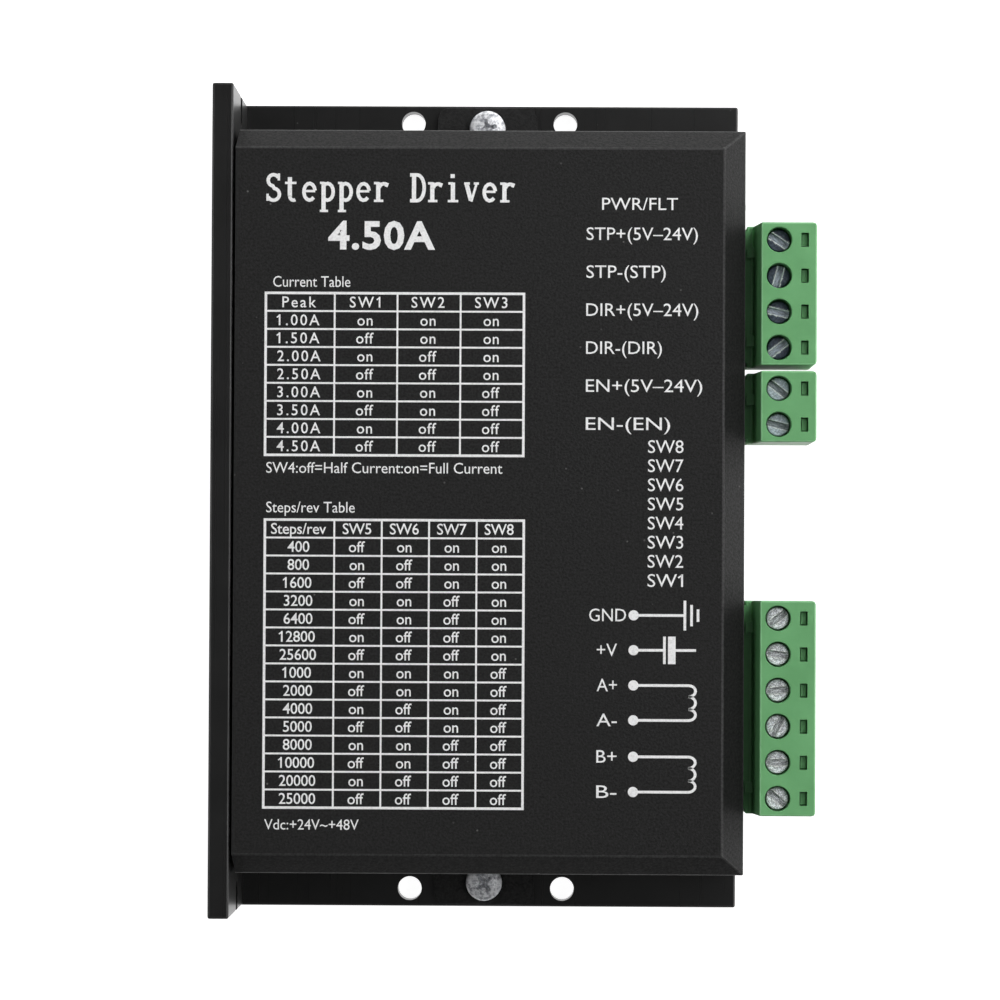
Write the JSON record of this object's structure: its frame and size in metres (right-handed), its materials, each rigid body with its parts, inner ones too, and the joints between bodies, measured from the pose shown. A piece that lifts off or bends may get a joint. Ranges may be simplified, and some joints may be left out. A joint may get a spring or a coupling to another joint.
{
  "type": "stepper motor driver module",
  "caption": "Flat black driver module: folded cover on an L-shaped heatsink, printed front, green pluggable screw terminals along one side.",
  "frame": {"origin": "centre of the heatsink's back face, where a panel would be", "axes": "+Z out of the printed front, +X towards the terminals, +Y to the top edge of the print"},
  "size_m": [0.0855, 0.118, 0.034],
  "materials": {
    "anodised_aluminium": "black anodised, satin, fine drawn lines",
    "black_coat": "fine textured black powder coat, matte",
    "zinc_screw": "bright zinc plate",
    "terminal_green": "green polyamide, satin",
    "clamp_metal": "nickel plate",
    "board": "green solder mask on glass fibre",
    "dip_red": "red moulded plastic",
    "dip_white": "white moulded plastic",
    "clear_lens": "clear epoxy lens",
    "capacitor_sleeve": "dark blue shrink sleeve",
    "black_epoxy": "black moulding compound",
    "thermal_pad": "grey filled silicone",
    "print_ink": "pale grey screen print",
    "clamp_bar": "plain cold rolled strip"
  },
  "bodies": {
    "chassis": {"heatsink": "anodised_aluminium", "cover": "black_coat", "cover_screw_top": "zinc_screw", "cover_screw_bottom": "zinc_screw", "main_board": "board", "board_screw_1": "zinc_screw", "board_screw_2": "zinc_screw", "board_screw_3": "zinc_screw", "board_screw_4": "zinc_screw", "signal_header": "terminal_green", "enable_header": "terminal_green", "power_header": "terminal_green", "dip_body": "dip_red", "status_led": "clear_lens", "bulk_capacitor_1": "capacitor_sleeve", "bulk_capacitor_2": "capacitor_sleeve", "controller_chip": "black_epoxy", "half_bridge_1": "black_epoxy", "half_bridge_2": "black_epoxy", "half_bridge_3": "black_epoxy", "half_bridge_4": "black_epoxy", "thermal_pad": "thermal_pad", "clamp_bar": "clamp_bar", "clamp_bar_screw_1": "zinc_screw", "clamp_bar_screw_2": "zinc_screw"},
    "signal_plug": {"signal_plug": "terminal_green"},
    "signal_screw_1": {"signal_screw_1": "zinc_screw"},
    "signal_clamp_1": {"signal_clamp_1": "clamp_metal"},
    "signal_screw_2": {"signal_screw_2": "zinc_screw"},
    "signal_clamp_2": {"signal_clamp_2": "clamp_metal"},
    "signal_screw_3": {"signal_screw_3": "zinc_screw"},
    "signal_clamp_3": {"signal_clamp_3": "clamp_metal"},
    "signal_screw_4": {"signal_screw_4": "zinc_screw"},
    "signal_clamp_4": {"signal_clamp_4": "clamp_metal"},
    "enable_plug": {"enable_plug": "terminal_green"},
    "enable_screw_1": {"enable_screw_1": "zinc_screw"},
    "enable_clamp_1": {"enable_clamp_1": "clamp_metal"},
    "enable_screw_2": {"enable_screw_2": "zinc_screw"},
    "enable_clamp_2": {"enable_clamp_2": "clamp_metal"},
    "power_plug": {"power_plug": "terminal_green"},
    "power_screw_1": {"power_screw_1": "zinc_screw"},
    "power_clamp_1": {"power_clamp_1": "clamp_metal"},
    "power_screw_2": {"power_screw_2": "zinc_screw"},
    "power_clamp_2": {"power_clamp_2": "clamp_metal"},
    "power_screw_3": {"power_screw_3": "zinc_screw"},
    "power_clamp_3": {"power_clamp_3": "clamp_metal"},
    "power_screw_4": {"power_screw_4": "zinc_screw"},
    "power_clamp_4": {"power_clamp_4": "clamp_metal"},
    "power_screw_5": {"power_screw_5": "zinc_screw"},
    "power_clamp_5": {"power_clamp_5": "clamp_metal"},
    "power_screw_6": {"power_screw_6": "zinc_screw"},
    "power_clamp_6": {"power_clamp_6": "clamp_metal"},
    "dip_slider_1": {"dip_slider_1": "dip_white"},
    "dip_slider_2": {"dip_slider_2": "dip_white"},
    "dip_slider_3": {"dip_slider_3": "dip_white"},
    "dip_slider_4": {"dip_slider_4": "dip_white"},
    "dip_slider_5": {"dip_slider_5": "dip_white"},
    "dip_slider_6": {"dip_slider_6": "dip_white"},
    "dip_slider_7": {"dip_slider_7": "dip_white"},
    "dip_slider_8": {"dip_slider_8": "dip_white"}
  },
  "joints": [
    {"name": "signal_plug_pull", "type": "slide", "parent": "chassis", "child": "signal_plug", "axis": [1, 0, 0], "range_m": [0, 0.01]},
    {"name": "signal_screw_1_turn", "type": "hinge", "parent": "signal_plug", "child": "signal_screw_1", "pos_m": [0.04245, 0.03717, 0.0295], "axis": [0, 0, -1], "range_deg": [0, 1080]},
    {"name": "signal_clamp_1_rise", "type": "slide", "parent": "signal_plug", "child": "signal_clamp_1", "axis": [0, 0, 1], "range_m": [0, 0.0015]},
    {"name": "signal_screw_2_turn", "type": "hinge", "parent": "signal_plug", "child": "signal_screw_2", "pos_m": [0.04245, 0.03209, 0.0295], "axis": [0, 0, -1], "range_deg": [0, 1080]},
    {"name": "signal_clamp_2_rise", "type": "slide", "parent": "signal_plug", "child": "signal_clamp_2", "axis": [0, 0, 1], "range_m": [0, 0.0015]},
    {"name": "signal_screw_3_turn", "type": "hinge", "parent": "signal_plug", "child": "signal_screw_3", "pos_m": [0.04245, 0.02701, 0.0295], "axis": [0, 0, -1], "range_deg": [0, 1080]},
    {"name": "signal_clamp_3_rise", "type": "slide", "parent": "signal_plug", "child": "signal_clamp_3", "axis": [0, 0, 1], "range_m": [0, 0.0015]},
    {"name": "signal_screw_4_turn", "type": "hinge", "parent": "signal_plug", "child": "signal_screw_4", "pos_m": [0.04245, 0.02193, 0.0295], "axis": [0, 0, -1], "range_deg": [0, 1080]},
    {"name": "signal_clamp_4_rise", "type": "slide", "parent": "signal_plug", "child": "signal_clamp_4", "axis": [0, 0, 1], "range_m": [0, 0.0015]},
    {"name": "enable_plug_pull", "type": "slide", "parent": "chassis", "child": "enable_plug", "axis": [1, 0, 0], "range_m": [0, 0.01]},
    {"name": "enable_screw_1_turn", "type": "hinge", "parent": "enable_plug", "child": "enable_screw_1", "pos_m": [0.04245, 0.01614, 0.0295], "axis": [0, 0, -1], "range_deg": [0, 1080]},
    {"name": "enable_clamp_1_rise", "type": "slide", "parent": "enable_plug", "child": "enable_clamp_1", "axis": [0, 0, 1], "range_m": [0, 0.0015]},
    {"name": "enable_screw_2_turn", "type": "hinge", "parent": "enable_plug", "child": "enable_screw_2", "pos_m": [0.04245, 0.01106, 0.0295], "axis": [0, 0, -1], "range_deg": [0, 1080]},
    {"name": "enable_clamp_2_rise", "type": "slide", "parent": "enable_plug", "child": "enable_clamp_2", "axis": [0, 0, 1], "range_m": [0, 0.0015]},
    {"name": "power_plug_pull", "type": "slide", "parent": "chassis", "child": "power_plug", "axis": [1, 0, 0], "range_m": [0, 0.01]},
    {"name": "power_screw_1_turn", "type": "hinge", "parent": "power_plug", "child": "power_screw_1", "pos_m": [0.04245, -0.0163, 0.0295], "axis": [0, 0, -1], "range_deg": [0, 1080]},
    {"name": "power_clamp_1_rise", "type": "slide", "parent": "power_plug", "child": "power_clamp_1", "axis": [0, 0, 1], "range_m": [0, 0.0015]},
    {"name": "power_screw_2_turn", "type": "hinge", "parent": "power_plug", "child": "power_screw_2", "pos_m": [0.04245, -0.02138, 0.0295], "axis": [0, 0, -1], "range_deg": [0, 1080]},
    {"name": "power_clamp_2_rise", "type": "slide", "parent": "power_plug", "child": "power_clamp_2", "axis": [0, 0, 1], "range_m": [0, 0.0015]},
    {"name": "power_screw_3_turn", "type": "hinge", "parent": "power_plug", "child": "power_screw_3", "pos_m": [0.04245, -0.02646, 0.0295], "axis": [0, 0, -1], "range_deg": [0, 1080]},
    {"name": "power_clamp_3_rise", "type": "slide", "parent": "power_plug", "child": "power_clamp_3", "axis": [0, 0, 1], "range_m": [0, 0.0015]},
    {"name": "power_screw_4_turn", "type": "hinge", "parent": "power_plug", "child": "power_screw_4", "pos_m": [0.04245, -0.03154, 0.0295], "axis": [0, 0, -1], "range_deg": [0, 1080]},
    {"name": "power_clamp_4_rise", "type": "slide", "parent": "power_plug", "child": "power_clamp_4", "axis": [0, 0, 1], "range_m": [0, 0.0015]},
    {"name": "power_screw_5_turn", "type": "hinge", "parent": "power_plug", "child": "power_screw_5", "pos_m": [0.04245, -0.03662, 0.0295], "axis": [0, 0, -1], "range_deg": [0, 1080]},
    {"name": "power_clamp_5_rise", "type": "slide", "parent": "power_plug", "child": "power_clamp_5", "axis": [0, 0, 1], "range_m": [0, 0.0015]},
    {"name": "power_screw_6_turn", "type": "hinge", "parent": "power_plug", "child": "power_screw_6", "pos_m": [0.04245, -0.0417, 0.0295], "axis": [0, 0, -1], "range_deg": [0, 1080]},
    {"name": "power_clamp_6_rise", "type": "slide", "parent": "power_plug", "child": "power_clamp_6", "axis": [0, 0, 1], "range_m": [0, 0.0015]},
    {"name": "dip_slider_1_slide", "type": "slide", "parent": "chassis", "child": "dip_slider_1", "axis": [0, 0, 1], "range_m": [0, 0.0019]},
    {"name": "dip_slider_2_slide", "type": "slide", "parent": "chassis", "child": "dip_slider_2", "axis": [0, 0, 1], "range_m": [0, 0.0019]},
    {"name": "dip_slider_3_slide", "type": "slide", "parent": "chassis", "child": "dip_slider_3", "axis": [0, 0, 1], "range_m": [0, 0.0019]},
    {"name": "dip_slider_4_slide", "type": "slide", "parent": "chassis", "child": "dip_slider_4", "axis": [0, 0, 1], "range_m": [0, 0.0019]},
    {"name": "dip_slider_5_slide", "type": "slide", "parent": "chassis", "child": "dip_slider_5", "axis": [0, 0, 1], "range_m": [0, 0.0019]},
    {"name": "dip_slider_6_slide", "type": "slide", "parent": "chassis", "child": "dip_slider_6", "axis": [0, 0, 1], "range_m": [0, 0.0019]},
    {"name": "dip_slider_7_slide", "type": "slide", "parent": "chassis", "child": "dip_slider_7", "axis": [0, 0, 1], "range_m": [0, 0.0019]},
    {"name": "dip_slider_8_slide", "type": "slide", "parent": "chassis", "child": "dip_slider_8", "axis": [0, 0, 1], "range_m": [0, 0.0019]}
  ],
  "couplings": [
    {"joint": "signal_screw_1_turn", "follows": "signal_clamp_1_rise", "rad_per_m": 12566},
    {"joint": "signal_screw_2_turn", "follows": "signal_clamp_2_rise", "rad_per_m": 12566},
    {"joint": "signal_screw_3_turn", "follows": "signal_clamp_3_rise", "rad_per_m": 12566},
    {"joint": "signal_screw_4_turn", "follows": "signal_clamp_4_rise", "rad_per_m": 12566},
    {"joint": "enable_screw_1_turn", "follows": "enable_clamp_1_rise", "rad_per_m": 12566},
    {"joint": "enable_screw_2_turn", "follows": "enable_clamp_2_rise", "rad_per_m": 12566},
    {"joint": "power_screw_1_turn", "follows": "power_clamp_1_rise", "rad_per_m": 12566},
    {"joint": "power_screw_2_turn", "follows": "power_clamp_2_rise", "rad_per_m": 12566},
    {"joint": "power_screw_3_turn", "follows": "power_clamp_3_rise", "rad_per_m": 12566},
    {"joint": "power_screw_4_turn", "follows": "power_clamp_4_rise", "rad_per_m": 12566},
    {"joint": "power_screw_5_turn", "follows": "power_clamp_5_rise", "rad_per_m": 12566},
    {"joint": "power_screw_6_turn", "follows": "power_clamp_6_rise", "rad_per_m": 12566}
  ]
}
